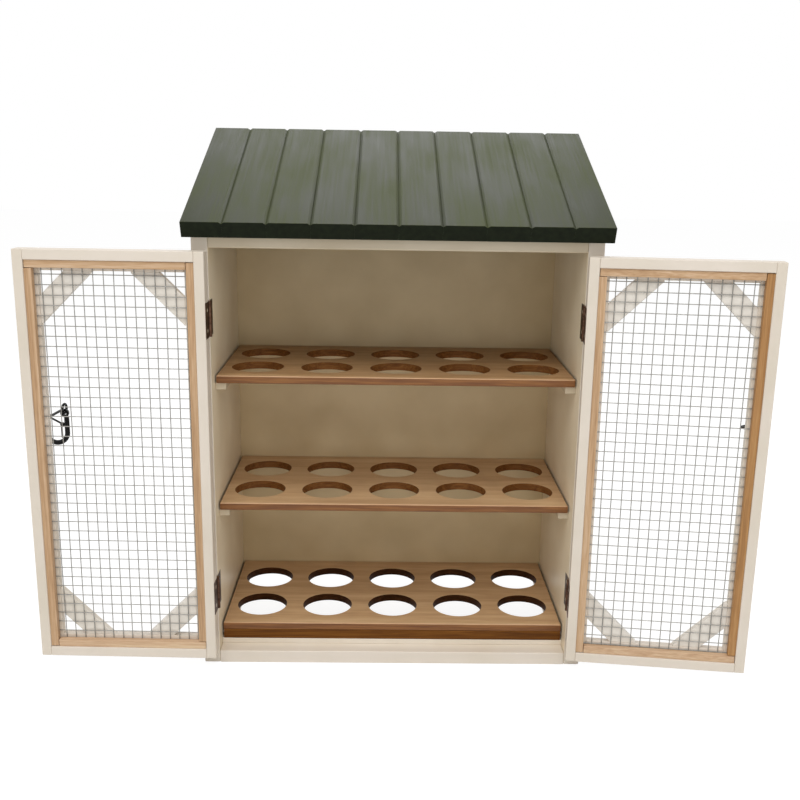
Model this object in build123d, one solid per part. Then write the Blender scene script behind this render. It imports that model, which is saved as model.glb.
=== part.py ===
from build123d import *
import math
import os

# Golf ball display case, millimetres. +X to the right, +Y to the back, +Z up.
# The origin is the middle of the underside of the base front rail.
# The doors are drawn shut, then turned about their hinge pins to where they stand open.

# Balls and shelves
columns = 5
rows = 2
cell_pitch = 54.0
ball_hole_diameter = 40.0
front_margin = 34.0
back_margin = 36.0
side_margin = 1.3
shelf_thickness = 6.0
shelf_spacing = 100.8
lowest_shelf_top = 28.1
room_over_top_shelf = 96.2
shelf_side_gap = 1.2
shelf_back_gap = 0.2
strip_height = 7.7
strip_depth = 10.0
cleat_width = 8.0
cleat_height = 5.4
cleat_setback = 2.5

# Carcass
side_thickness = 12.0
back_thickness = 6.0
rail_thickness = 12.0
base_rail_height = 10.0
base_rail_depth = 24.0
top_rail_height = 10.8
batten_depth = 12.0
batten_height = 16.0

# Roof
roof_slope = 22.2
roof_thickness = 12.0
plank_count = 10
edge_plank_trim = 2.2
plank_gap = 0.2
plank_chamfer = 1.3
front_overhang = 12.0
rear_overhang = 10.0
side_overhang = 5.0

# Doors
door_thickness = 12.0
door_end_gap = 1.4
door_centre_gap = 1.0
door_shelf_gap = 1.0
frame_width = 15.5
ledge_width = 7.5
lip_thickness = 5.5
bead_width = 5.6
bead_depth = 5.0
bead_end_gap = 0.4
brace_start = 18.2
brace_width = 14.8
brace_thickness = 5.2
mesh_wire = 0.65
mesh_pitch_across = 7.35
mesh_pitch_up = 7.45
mesh_edge_gap = 0.4
left_open_angle = 181.4
right_open_angle = 172.6

# Butt hinges
hinge_height = 26.0
hinge_setback = 49.5
leaf_thickness = 0.5
leaf_gap = 0.1
leaf_back_margin = 0.4
mortise_depth = 0.25
knuckle_radius = 1.4
knuckle_gap = 0.2
pin_radius = 0.7
pin_clearance = 0.05
pin_ahead = 1.6
hinge_screw_radius = 0.8
hinge_screw_head_radius = 1.5
hinge_screw_length = 6.0
hinge_screw_spacing = 15.0
pilot_clearance = 0.05

# Latch: two screw eyes, a safety hook and its sprung keeper
latch_height = 199.5
eye_ring_radius = 3.45
eye_wire_radius = 1.0
eye_standoff = 26.0
eye_bite = 5.0
eye_lip_margin = 1.7
eye_lean = 6.4
hook_wire_radius = 1.9
hook_eye_radius = 3.2
hook_eye_bore = 1.5
hook_eye_thickness = 2.2
shank_offset = 1.2
shank_length = 15.6
hook_bend_radius = 8.2
hook_nose_drop = 2.25
hook_nose_reach = 4.2
hook_nose_radius = 1.2
keeper_wire_radius = 0.75
keeper_pivot_along = 2.3
keeper_pivot_drop = 9.1
keeper_length = 9.9
keeper_rise = 28.7
keeper_eye_radius = 1.4
keeper_eye_thickness = 1.0
keeper_lug_thickness = 1.2
keeper_side_gap = 0.2
rivet_radius = 0.55
spring_wire_radius = 0.7
spring_seat_gap = 0.15
latch_play = 0.2

# Worked out from the sizes above
inside_width = columns * cell_pitch + 2 * side_margin
half_inside = inside_width / 2
half_outside = half_inside + side_thickness
shelf_depth = front_margin + (rows - 1) * cell_pitch + back_margin
front_y = -rail_thickness / 2
door_inside_y = front_y + door_thickness
shelf_front_y = door_inside_y + door_shelf_gap
back_front_y = shelf_front_y + shelf_depth + shelf_back_gap
back_rear_y = back_front_y + back_thickness
shelf_tops = [lowest_shelf_top + shelf_spacing * level for level in range(3)]
opening_top = shelf_tops[2] + room_over_top_shelf
door_bottom = base_rail_height + door_end_gap
door_top = opening_top - door_end_gap
door_height = door_top - door_bottom
hinge_gap = 2 * leaf_thickness + leaf_gap - 2 * mortise_depth
door_edge = half_inside - hinge_gap
door_width = door_edge - door_centre_gap / 2
pin_x = half_inside - hinge_gap / 2
pin_y = front_y - pin_ahead
hinge_middles = [door_bottom + hinge_setback, door_top - hinge_setback]
slope = math.radians(roof_slope)
roof_front_y = front_y - front_overhang
plank_length = (front_overhang + back_rear_y - front_y + rear_overhang) / math.cos(slope)
plank_width = (2 * (half_outside + side_overhang) + 2 * edge_plank_trim) / plank_count
mesh_front = lip_thickness
mesh_back = mesh_front + mesh_wire

parts = {}


def box(x0, x1, y0, y1, z0, z1):
    centre = ((x0 + x1) / 2, (y0 + y1) / 2, (z0 + z1) / 2)
    return Pos(*centre) * Box(abs(x1 - x0), abs(y1 - y0), abs(z1 - z0))


# A bar between two points
def rod(start, end, radius):
    start = Vector(*start)
    run = Vector(*end) - start
    return Plane(origin=start, z_dir=run) * Cylinder(
        radius, run.length, align=(Align.CENTER, Align.CENTER, Align.MIN)
    )


def ball(centre, radius):
    return Pos(*centre) * Sphere(radius)


# ---------------------------------------------------------------- carcass


# Height of the roof boards' underside
def roof_underside(y):
    at_front_plane = opening_top + top_rail_height
    return at_front_plane + (y - front_y) * math.tan(slope)


# An upright board whose top edge is cut to the roof's slope
def board_under_roof(x0, x1, y0, y1, z0):
    outline = Polyline(
        (0, y0, z0),
        (0, y1, z0),
        (0, y1, roof_underside(y1)),
        (0, y0, roof_underside(y0)),
        close=True,
    )
    face = Pos(x0, 0, 0) * make_face(outline)
    return extrude(face, amount=x1 - x0, dir=(1, 0, 0))


def make_carcass():
    left = board_under_roof(-half_outside, -half_inside, front_y, back_rear_y, 0)
    right = board_under_roof(half_inside, half_outside, front_y, back_rear_y, 0)
    for hinge_z in hinge_middles:
        left -= case_mortise(-1, hinge_z)
        right -= case_mortise(1, hinge_z)
    parts["left_side_panel"] = left
    parts["right_side_panel"] = right
    back_bottom = shelf_tops[0] - shelf_thickness
    parts["back_panel"] = board_under_roof(
        -half_inside, half_inside, back_front_y, back_rear_y, back_bottom
    )
    rail_back_y = front_y + rail_thickness
    parts["base_front_rail"] = box(
        -half_inside, half_inside, front_y, front_y + base_rail_depth, 0, base_rail_height
    )
    # The shut doors close against this rib, which carries the bottom shelf's strip
    parts["base_door_stop"] = box(
        -half_inside, half_inside, shelf_front_y, front_y + base_rail_depth,
        base_rail_height, back_bottom - strip_height,
    )
    parts["top_front_rail"] = board_under_roof(
        -half_inside, half_inside, front_y, rail_back_y, opening_top
    )
    batten_y = back_front_y - batten_depth
    parts["roof_rear_batten"] = board_under_roof(
        -half_inside, half_inside, batten_y, back_front_y, roof_underside(batten_y) - batten_height
    )


# ---------------------------------------------------------------- roof


# A plank lying along +Y from its top front edge, with a chamfer where it meets a neighbour
def plank(x0, x1, chamfer_left, chamfer_right):
    left = plank_chamfer if chamfer_left else 0
    right = plank_chamfer if chamfer_right else 0
    points = [(x0, -roof_thickness), (x1, -roof_thickness), (x1, -right)]
    if right:
        points.append((x1 - right, 0))
    if left:
        points.append((x0 + left, 0))
    points.append((x0, -left))
    end = make_face(Polyline(*[(x, 0, z) for x, z in points], close=True))
    return extrude(end, amount=plank_length, dir=(0, 1, 0))


def make_roof():
    rise_to_top = roof_thickness / math.cos(slope)
    front_top_z = roof_underside(roof_front_y) + rise_to_top
    place = Pos(0, roof_front_y, front_top_z) * Rot(roof_slope, 0, 0)
    x = -half_outside - side_overhang
    for number in range(1, plank_count + 1):
        at_edge = number in (1, plank_count)
        width = plank_width - edge_plank_trim if at_edge else plank_width
        board = plank(
            x + plank_gap / 2, x + width - plank_gap / 2, number > 1, number < plank_count
        )
        parts[f"roof_plank_{number:02d}"] = place * board
        x += width


# ---------------------------------------------------------------- shelves


def make_shelves():
    half_shelf = half_inside - shelf_side_gap
    row_offset = (front_margin - back_margin) / 2
    holes_y = shelf_front_y + shelf_depth / 2 + row_offset
    back_y = shelf_front_y + shelf_depth
    for name, top in zip(["bottom", "middle", "top"], shelf_tops):
        under = top - shelf_thickness
        shelf = box(-half_shelf, half_shelf, shelf_front_y, back_y, under, top)
        holes = Pos(0, holes_y, top - shelf_thickness / 2) * GridLocations(
            cell_pitch, cell_pitch, columns, rows
        )
        shelf -= holes * Cylinder(ball_hole_diameter / 2, 2 * shelf_thickness)
        parts[f"{name}_shelf"] = shelf
        cleat_front = shelf_front_y + (strip_depth if name == "bottom" else cleat_setback)
        pair = [
            box(
                side * half_inside, side * (half_inside - cleat_width),
                cleat_front, back_front_y, under - cleat_height, under,
            )
            for side in (-1, 1)
        ]
        parts[f"{name}_shelf_cleats"] = Compound(children=pair)
    strip_top = shelf_tops[0] - shelf_thickness
    parts["bottom_shelf_strip"] = box(
        -half_shelf, half_shelf, shelf_front_y, shelf_front_y + strip_depth,
        strip_top - strip_height, strip_top,
    )


# ---------------------------------------------------------------- hinges


# The shallow recess that a leaf lies in, on the side panel
def case_mortise(side, middle):
    face = side * half_inside
    return box(
        face - side * mortise_depth, face + side * mortise_depth,
        front_y - pin_ahead, front_y + door_thickness - leaf_back_margin,
        middle - hinge_height / 2, middle + hinge_height / 2,
    )


# The same recess in the door's hinge edge
def door_mortise(side, middle):
    face = side * door_edge
    return box(
        face - side * mortise_depth, face + side * mortise_depth,
        front_y - pin_ahead, front_y + door_thickness - leaf_back_margin,
        middle - hinge_height / 2, middle + hinge_height / 2,
    )


# A countersunk screw along X from a leaf's open face; outward is its pointing direction
def hinge_screw(side, outward, z, clearance):
    start = side * pin_x + outward * leaf_gap / 2
    plate_front = pin_y + knuckle_radius + knuckle_gap / 2
    plate_back = front_y + door_thickness - leaf_back_margin
    place = Pos(start, (plate_front + plate_back) / 2, z) * Rot(0, 90 * outward, 0)
    based = (Align.CENTER, Align.CENTER, Align.MIN)
    head = Cone(
        hinge_screw_head_radius + clearance, hinge_screw_radius + clearance, leaf_thickness, align=based
    )
    shank = Cylinder(hinge_screw_radius + clearance, hinge_screw_length + clearance, align=based)
    return place * (head + shank)


def hinge_screw_heights(middle):
    return [middle - hinge_screw_spacing / 2, middle + hinge_screw_spacing / 2]


# One leaf with its knuckles; the case leaf has the two outer knuckles, the door leaf the middle one
def hinge_leaf(side, outward, middle):
    near = side * pin_x + outward * leaf_gap / 2
    far = near + outward * leaf_thickness
    plate_front = pin_y + knuckle_radius + knuckle_gap / 2
    plate_back = front_y + door_thickness - leaf_back_margin
    bottom = middle - hinge_height / 2
    top = middle + hinge_height / 2
    leaf = box(near, far, plate_front, plate_back, bottom, top)
    sixth = hinge_height / 6
    if outward == side:
        spans = [(bottom, middle - sixth - knuckle_gap / 2), (middle + sixth + knuckle_gap / 2, top)]
    else:
        spans = [(middle - sixth + knuckle_gap / 2, middle + sixth - knuckle_gap / 2)]
    for low, high in spans:
        leaf += box(near, far, pin_y, plate_front, low, high)
        leaf += rod((side * pin_x, pin_y, low), (side * pin_x, pin_y, high), knuckle_radius)
    leaf -= rod(
        (side * pin_x, pin_y, bottom - knuckle_gap), (side * pin_x, pin_y, top + knuckle_gap),
        pin_radius + pin_clearance,
    )
    for z in hinge_screw_heights(middle):
        leaf -= hinge_screw(side, outward, z, pilot_clearance)
    return leaf


# The pin, with a small head above the top knuckle
def hinge_pin(side, middle):
    x = side * pin_x
    bottom = middle - hinge_height / 2
    top = middle + hinge_height / 2
    pin = rod((x, pin_y, bottom), (x, pin_y, top), pin_radius)
    return pin + rod((x, pin_y, top), (x, pin_y, top + knuckle_gap), pin_radius + pin_clearance * 4)


def make_case_hinges():
    screws = []
    for name, side in (("left", -1), ("right", 1)):
        leaves = [hinge_leaf(side, side, middle) for middle in hinge_middles]
        pins = [hinge_pin(side, middle) for middle in hinge_middles]
        parts[f"{name}_case_hinge_leaves"] = Compound(children=leaves)
        parts[f"{name}_hinge_pins"] = Compound(children=pins)
        for middle in hinge_middles:
            for z in hinge_screw_heights(middle):
                parts[f"{name}_side_panel"] -= hinge_screw(side, side, z, pilot_clearance)
                screws.append(hinge_screw(side, side, z, 0))
    parts["case_hinge_screws"] = Compound(children=screws)


# ---------------------------------------------------------------- doors


# A box in a shut door: u runs from the hinge edge, v from the outer face, w from the bottom edge
def door_box(side, u0, u1, v0, v1, w0, w1):
    return box(
        side * (door_edge - u0), side * (door_edge - u1),
        front_y + v0, front_y + v1,
        door_bottom + w0, door_bottom + w1,
    )


def door_stile(side, at_hinge):
    u0, u_ledge, u_lip = 0, ledge_width, frame_width
    if not at_hinge:
        u0, u_ledge, u_lip = door_width, door_width - ledge_width, door_width - frame_width
    ledge = door_box(side, u0, u_ledge, 0, door_thickness, 0, door_height)
    return ledge + door_box(side, u0, u_lip, 0, lip_thickness, 0, door_height)


# The rail's lip stops at the stiles' lips and its ledge laps over them
def door_rail(side, at_top):
    w0, w_ledge, w_lip = 0, ledge_width, frame_width
    if at_top:
        w0, w_ledge, w_lip = door_height, door_height - ledge_width, door_height - frame_width
    lip = door_box(side, frame_width, door_width - frame_width, 0, lip_thickness, w0, w_lip)
    ledge = door_box(
        side, ledge_width, door_width - ledge_width, lip_thickness, door_thickness, w0, w_ledge
    )
    neck = door_box(
        side, frame_width, door_width - frame_width, 0, door_thickness, w0, w_ledge
    )
    return lip + neck + ledge


# Beads in the rebate: each runs past one neighbour and stops short of the other, all the way round.
# hinge_bead_at_top says whether the hinge bead is the one that runs up to the top
def door_beads(side, hinge_bead_at_top):
    v0, v1 = mesh_back, mesh_back + bead_depth
    far_u = door_width - ledge_width
    far_w = door_height - ledge_width
    past = ledge_width + bead_end_gap
    short = ledge_width + bead_width + bead_end_gap
    first, second = (short, past) if hinge_bead_at_top else (past, short)
    return {
        "hinge_bead": door_box(
            side, ledge_width, ledge_width + bead_width, v0, v1, first, door_height - second
        ),
        "latch_bead": door_box(
            side, far_u - bead_width, far_u, v0, v1, second, door_height - first
        ),
        "bottom_bead": door_box(
            side, second, door_width - first, v0, v1, ledge_width, ledge_width + bead_width
        ),
        "top_bead": door_box(
            side, first, door_width - second, v0, v1, far_w - bead_width, far_w
        ),
    }


# Welded mesh as one flat grid, clamped between the frame's lip and the beads
def door_mesh(side):
    width = door_width - 2 * (ledge_width + mesh_edge_gap)
    height = door_height - 2 * (ledge_width + mesh_edge_gap)
    across = int((width - mesh_wire) // mesh_pitch_across)
    up = int((height - mesh_wire) // mesh_pitch_up)
    hole_width = mesh_pitch_across - mesh_wire
    hole_height = mesh_pitch_up - mesh_wire
    place = Plane(
        origin=(side * (door_edge - door_width / 2), front_y + mesh_front, door_bottom + door_height / 2),
        x_dir=(1, 0, 0),
        z_dir=(0, -1, 0),
    )
    holes = [
        place * spot * Wire.make_rect(hole_width, hole_height)
        for spot in GridLocations(mesh_pitch_across, mesh_pitch_up, across, up)
    ]
    outline = place * Wire.make_rect(width, height)
    return extrude(Face(outline, holes), amount=mesh_wire, dir=(0, 1, 0))


# 45 degree strips across the four corners of the lip's opening
def corner_braces(side):
    near = brace_start
    far = brace_start + brace_width * math.sqrt(2)
    braces = []
    for u_corner, u_in in ((frame_width, 1), (door_width - frame_width, -1)):
        for w_corner, w_in in ((frame_width, 1), (door_height - frame_width, -1)):
            corners = [(near, 0), (far, 0), (0, far), (0, near)]
            outline = [
                (
                    side * (door_edge - u_corner - u_in * across),
                    front_y,
                    door_bottom + w_corner + w_in * up,
                )
                for across, up in corners
            ]
            face = make_face(Polyline(*outline, close=True))
            braces.append(extrude(face, amount=brace_thickness, dir=(0, 1, 0)))
    return Compound(children=braces)


# Turns a shut door's piece about the door's hinge pin to its open rest position
def stand_open(side, piece):
    angle = -left_open_angle if side < 0 else right_open_angle
    turn = Pos(side * pin_x, pin_y, 0) * Rot(0, 0, angle) * Pos(-side * pin_x, -pin_y, 0)
    return turn * piece


def make_door(name, side, hinge_bead_at_top, eye_hole):
    hinge_stile = door_stile(side, True)
    screws = []
    leaves = []
    for middle in hinge_middles:
        hinge_stile -= door_mortise(side, middle)
        leaves.append(hinge_leaf(side, -side, middle))
        for z in hinge_screw_heights(middle):
            hinge_stile -= hinge_screw(side, -side, z, pilot_clearance)
            screws.append(hinge_screw(side, -side, z, 0))
    pieces = {
        "hinge_stile": hinge_stile,
        "latch_stile": door_stile(side, False) - eye_hole,
        "top_rail": door_rail(side, True),
        "bottom_rail": door_rail(side, False),
        "corner_braces": corner_braces(side),
        "mesh": door_mesh(side),
        "hinge_leaves": Compound(children=leaves),
        "hinge_screws": Compound(children=screws),
    }
    pieces.update(door_beads(side, hinge_bead_at_top))
    for piece, shape in pieces.items():
        parts[f"{name}_door_{piece}"] = stand_open(side, shape)


# ---------------------------------------------------------------- latch


# A screw eye about its ring's centre: the stem runs along +Y, the ring's axis along X or Z
def screw_eye(upright, stem_length, clearance):
    ring = Torus(eye_ring_radius, eye_wire_radius)
    if upright:
        ring = Rot(0, 90, 0) * ring
    stem = rod(
        (0, eye_ring_radius, 0), (0, eye_ring_radius + stem_length, 0), eye_wire_radius + clearance
    )
    return stem + ring


# The hook hangs along -Z from its eye, in the XZ plane, with its mouth towards +X
def latch_hook():
    shank_x = -shank_offset
    bend_x = shank_x + hook_bend_radius
    tip_x = bend_x + hook_bend_radius
    based = (Align.CENTER, Align.CENTER, Align.CENTER)
    level = Rot(90, 0, 0)
    hook = level * Cylinder(hook_eye_radius, hook_eye_thickness, align=based)
    hook += rod((shank_x, 0, -shank_length), (shank_x, 0, -hook_eye_radius + 0.6), hook_wire_radius)
    section = Pos(shank_x, 0, -shank_length) * Circle(hook_wire_radius)
    hook += revolve(section, Axis((bend_x, 0, -shank_length), (0, -1, 0)), revolution_arc=180)
    hook += rod((tip_x, 0, -shank_length), (tip_x, 0, -hook_nose_drop), hook_wire_radius)
    hook += ball((tip_x, 0, -hook_nose_drop), hook_wire_radius)
    nose_x = tip_x - hook_nose_reach
    hook += rod((tip_x, 0, -hook_nose_drop), (nose_x, 0, -hook_nose_drop), hook_nose_radius)
    hook += ball((nose_x, 0, -hook_nose_drop), hook_nose_radius)
    lug_back = keeper_side_gap / 2
    pivot = (keeper_pivot_along, -keeper_pivot_drop)
    lug = rod(
        (pivot[0], lug_back, pivot[1]), (pivot[0], lug_back + keeper_lug_thickness, pivot[1]),
        keeper_eye_radius,
    )
    hook += lug
    hook += box(
        shank_x, pivot[0], lug_back, lug_back + keeper_lug_thickness,
        pivot[1] - keeper_eye_radius, pivot[1] + keeper_eye_radius,
    )
    hook -= level * Cylinder(hook_eye_bore, 2 * hook_wire_radius, align=based)
    return hook - rivet(pilot_clearance)


# The rivet through the lug and the keeper's eye
def rivet(clearance):
    back = keeper_side_gap / 2 + keeper_lug_thickness + clearance
    front = -keeper_side_gap / 2 - keeper_eye_thickness - clearance
    return rod(
        (keeper_pivot_along, front, -keeper_pivot_drop),
        (keeper_pivot_along, back, -keeper_pivot_drop),
        rivet_radius + clearance,
    )


# The keeper closes the hook's mouth from inside, its end under the nose
def hook_keeper():
    rise = math.radians(keeper_rise)
    front = -keeper_side_gap / 2 - keeper_eye_thickness
    middle_y = front + keeper_eye_thickness / 2
    start = (keeper_pivot_along, middle_y, -keeper_pivot_drop)
    end = (
        keeper_pivot_along + keeper_length * math.cos(rise),
        middle_y,
        -keeper_pivot_drop + keeper_length * math.sin(rise),
    )
    eye = rod(
        (start[0], front, start[2]), (start[0], -keeper_side_gap / 2, start[2]), keeper_eye_radius
    )
    arm = rod(
        (start[0] + math.cos(rise), middle_y, start[2] + math.sin(rise)), end, keeper_wire_radius
    )
    arm = arm & Pos(0, middle_y, 0) * Box(200, keeper_eye_thickness, 200)
    return eye + arm + ball(end, keeper_wire_radius) - rivet(pin_clearance)


# The keeper's spring: a wire leg along the shank, seated in the bend
def keeper_spring():
    bend_x = hook_bend_radius - shank_offset
    leg_x = keeper_pivot_along + spring_wire_radius
    inner_bend = hook_bend_radius - hook_wire_radius
    from_centre = bend_x - leg_x + spring_wire_radius
    seat_z = -shank_length - math.sqrt(inner_bend ** 2 - from_centre ** 2)
    top_z = -keeper_pivot_drop - keeper_eye_radius - spring_seat_gap
    return rod((leg_x, 0, seat_z + spring_seat_gap), (leg_x, 0, top_z), spring_wire_radius)


def make_latch_and_doors():
    entry_x = -(door_edge - door_width + frame_width - eye_lip_margin)
    lean = math.radians(eye_lean)
    ring_x = entry_x - eye_standoff * math.tan(lean)
    ring_y = front_y - eye_standoff
    lean_length = (eye_standoff + eye_bite) / math.cos(lean) - eye_ring_radius
    left_place = Pos(ring_x, ring_y, latch_height) * Rot(0, 0, -eye_lean)
    left_eye = left_place * screw_eye(True, lean_length, 0)
    left_hole = left_place * screw_eye(True, lean_length + pilot_clearance, pilot_clearance)

    # Where the other eye's wire lies in the hook's bend when the latch is done up
    caught_x = hook_bend_radius - shank_offset
    caught_z = -shank_length - hook_bend_radius + hook_wire_radius + eye_wire_radius + latch_play
    reach = math.hypot(caught_x, caught_z)
    done_up_angle = 90 - math.degrees(math.atan2(caught_x, -caught_z))
    axis_z = latch_height - eye_ring_radius
    right_x = ring_x + reach + eye_ring_radius
    straight_length = eye_standoff + eye_bite - eye_ring_radius
    right_place = Pos(right_x, ring_y, axis_z)
    right_eye = right_place * screw_eye(False, straight_length, 0)
    right_hole = right_place * screw_eye(False, straight_length + pilot_clearance, pilot_clearance)

    make_door("left", -1, True, left_hole)
    make_door("right", 1, False, right_hole)
    parts["left_screw_eye"] = stand_open(-1, left_eye)
    parts["right_screw_eye"] = stand_open(1, right_eye)
    hang = Pos(ring_x, ring_y, axis_z)
    parts["latch_hook"] = stand_open(-1, hang * latch_hook())
    parts["keeper_rivet"] = stand_open(-1, hang * rivet(0))
    parts["keeper_spring"] = stand_open(-1, hang * keeper_spring())
    parts["hook_keeper"] = stand_open(-1, hang * hook_keeper())

    # Joint places at rest, for the record
    pivot = Pos(ring_x + keeper_pivot_along, ring_y, axis_z - keeper_pivot_drop)
    normal = Vector(0, -1, 0).rotate(Axis.Z, -left_open_angle)
    print("pins", pin_x, pin_y)
    print("hook axis at", (stand_open(-1, hang * Vertex(0, 0, 0))).center(), "along", normal)
    print("keeper pivot at", (stand_open(-1, pivot * Vertex(0, 0, 0))).center())
    print("hook done up at", done_up_angle, "reach", reach)


make_carcass()
make_roof()
make_shelves()
make_case_hinges()
make_latch_and_doors()

os.makedirs("parts", exist_ok=True)
for node, shape in parts.items():
    export_step(shape, f"parts/{node}.step")
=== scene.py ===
import math

import bmesh
import bpy
import numpy as np
from mathutils import Matrix, Vector


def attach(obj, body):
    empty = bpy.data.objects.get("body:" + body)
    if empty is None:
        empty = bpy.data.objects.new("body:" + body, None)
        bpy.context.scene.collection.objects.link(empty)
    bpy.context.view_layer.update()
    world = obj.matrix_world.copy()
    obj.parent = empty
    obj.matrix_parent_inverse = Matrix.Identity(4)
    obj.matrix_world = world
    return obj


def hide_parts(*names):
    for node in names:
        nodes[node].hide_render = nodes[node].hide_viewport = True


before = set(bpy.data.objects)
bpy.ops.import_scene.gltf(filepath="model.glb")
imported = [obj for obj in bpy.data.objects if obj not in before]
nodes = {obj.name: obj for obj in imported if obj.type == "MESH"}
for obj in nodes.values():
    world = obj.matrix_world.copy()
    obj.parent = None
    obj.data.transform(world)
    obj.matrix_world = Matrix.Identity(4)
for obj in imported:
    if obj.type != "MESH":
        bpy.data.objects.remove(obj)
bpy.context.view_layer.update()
scene = bpy.context.scene
print("frame loaded,", len(nodes), "nodes")

# Lengths of the case are in millimetres, in its own frame: X right, Y back, Z up
toMetres = 0.001
mmPerMetre = 1000
easingSteps = 3  # in the quarter round of each eased edge
carcass = {
    "halfInside": 136.3, "sideThickness": 12.0, "frontY": -6.0, "backFrontY": 131.2, "backRearY": 137.2,
    "backBottom": 22.1, "baseRail": 10.0, "baseRailDepth": 24.0, "openingTop": 325.9, "topRail": 12.0,
    "underRoofAtFront": 336.7, "slope": 22.2}
slopeAngle = math.radians(carcass["slope"])
# A door's frame is "frame" wide down to "lip" behind its outer face, and "ledge" wide from there on.
# The doors stand open by their angles, in degrees about their pins.
door = {
    "edge": 135.7, "width": 135.2, "height": 313.1, "bottom": 11.4, "thickness": 12.0, "frame": 15.5,
    "ledge": 7.5, "lip": 5.5, "pinX": 136.0, "pinY": -7.6, "leftOpen": 181.4, "rightOpen": 172.6}


# One sRGB channel as linear light: c / 12.92 up to 0.04045, else ((c + 0.055) / 1.055) ^ 2.4
def hexToLinear(text):
    channels = np.array([int(text[i:i + 2], 16) for i in (1, 3, 5)]) / 255
    linear = np.where(channels <= 0.04045, channels / 12.92, ((channels + 0.055) / 1.055) ** 2.4)
    return (*linear.tolist(), 1.0)


# Adds a node. Settings are its properties or its sockets' values, links are {socket: where it comes from}
def addNode(tree, kind, settings=None, links=None):
    node = tree.nodes.new(kind)
    for name, value in (settings or {}).items():
        if name == "stops":
            for index, (place, colour) in enumerate(value):
                stops = node.color_ramp.elements
                stop = stops[index] if index < 2 else stops.new(place)
                stop.position = place
                stop.color = hexToLinear(colour)
        elif name in node.bl_rna.properties:
            setattr(node, name, value)
        else:
            node.inputs[name].default_value = value
    for name, source in (links or {}).items():
        tree.links.new(source, node.inputs[name])
    return node


# A material's tree with its surface shader and the piece's own coordinates, in metres
def startMaterial(name, shaderSettings):
    material = bpy.data.materials.new(name)
    material.use_nodes = True
    tree = material.node_tree
    tree.nodes.clear()
    shader = addNode(tree, "ShaderNodeBsdfPrincipled", shaderSettings)
    addNode(tree, "ShaderNodeOutputMaterial", links={"Surface": shader.outputs["BSDF"]})
    where = addNode(tree, "ShaderNodeTexCoord").outputs["Object"]
    return material, tree, shader, where


# Scale that stretches a pattern down the grain: one feature to "across" mm, and to "along" mm on the axis
def grainScale(axis, across, along):
    scale = [mmPerMetre / across] * 3
    scale["XYZ".index(axis)] = mmPerMetre / along
    return scale


# Cream alkyd enamel, brushed on pine and MDF: an even warm white with a satin sheen,
# faint strokes along the board and the slightest yellowing in patches
def creamEnamel(name, axis, colours):
    paint = {
        "roughness": 0.42, "strokeAcross": 1.1, "strokeAlong": 60.0, "strokeHeight": 0.05,
        "strokeStrength": 0.35, "patchSize": 45.0, "patchStops": (0.35, 0.75)}
    material, tree, shader, where = startMaterial(name, {"IOR": 1.5, "Roughness": paint["roughness"]})
    patches = addNode(
        tree, "ShaderNodeTexNoise", {"Scale": mmPerMetre / paint["patchSize"], "Detail": 3.0},
        {"Vector": where})
    tint = addNode(
        tree, "ShaderNodeValToRGB", {"stops": list(zip(paint["patchStops"], colours))},
        {"Fac": patches.outputs["Fac"]})
    strokePlace = addNode(
        tree, "ShaderNodeMapping", {"Scale": grainScale(axis, paint["strokeAcross"], paint["strokeAlong"])},
        {"Vector": where})
    strokes = addNode(
        tree, "ShaderNodeTexNoise", {"Scale": 1.0, "Detail": 2.0}, {"Vector": strokePlace.outputs["Vector"]})
    relief = addNode(
        tree, "ShaderNodeBump",
        {"Strength": paint["strokeStrength"], "Distance": paint["strokeHeight"] * toMetres},
        {"Height": strokes.outputs["Fac"]})
    tree.links.new(tint.outputs["Color"], shader.inputs["Base Color"])
    tree.links.new(relief.outputs["Normal"], shader.inputs["Normal"])
    return material


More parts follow.
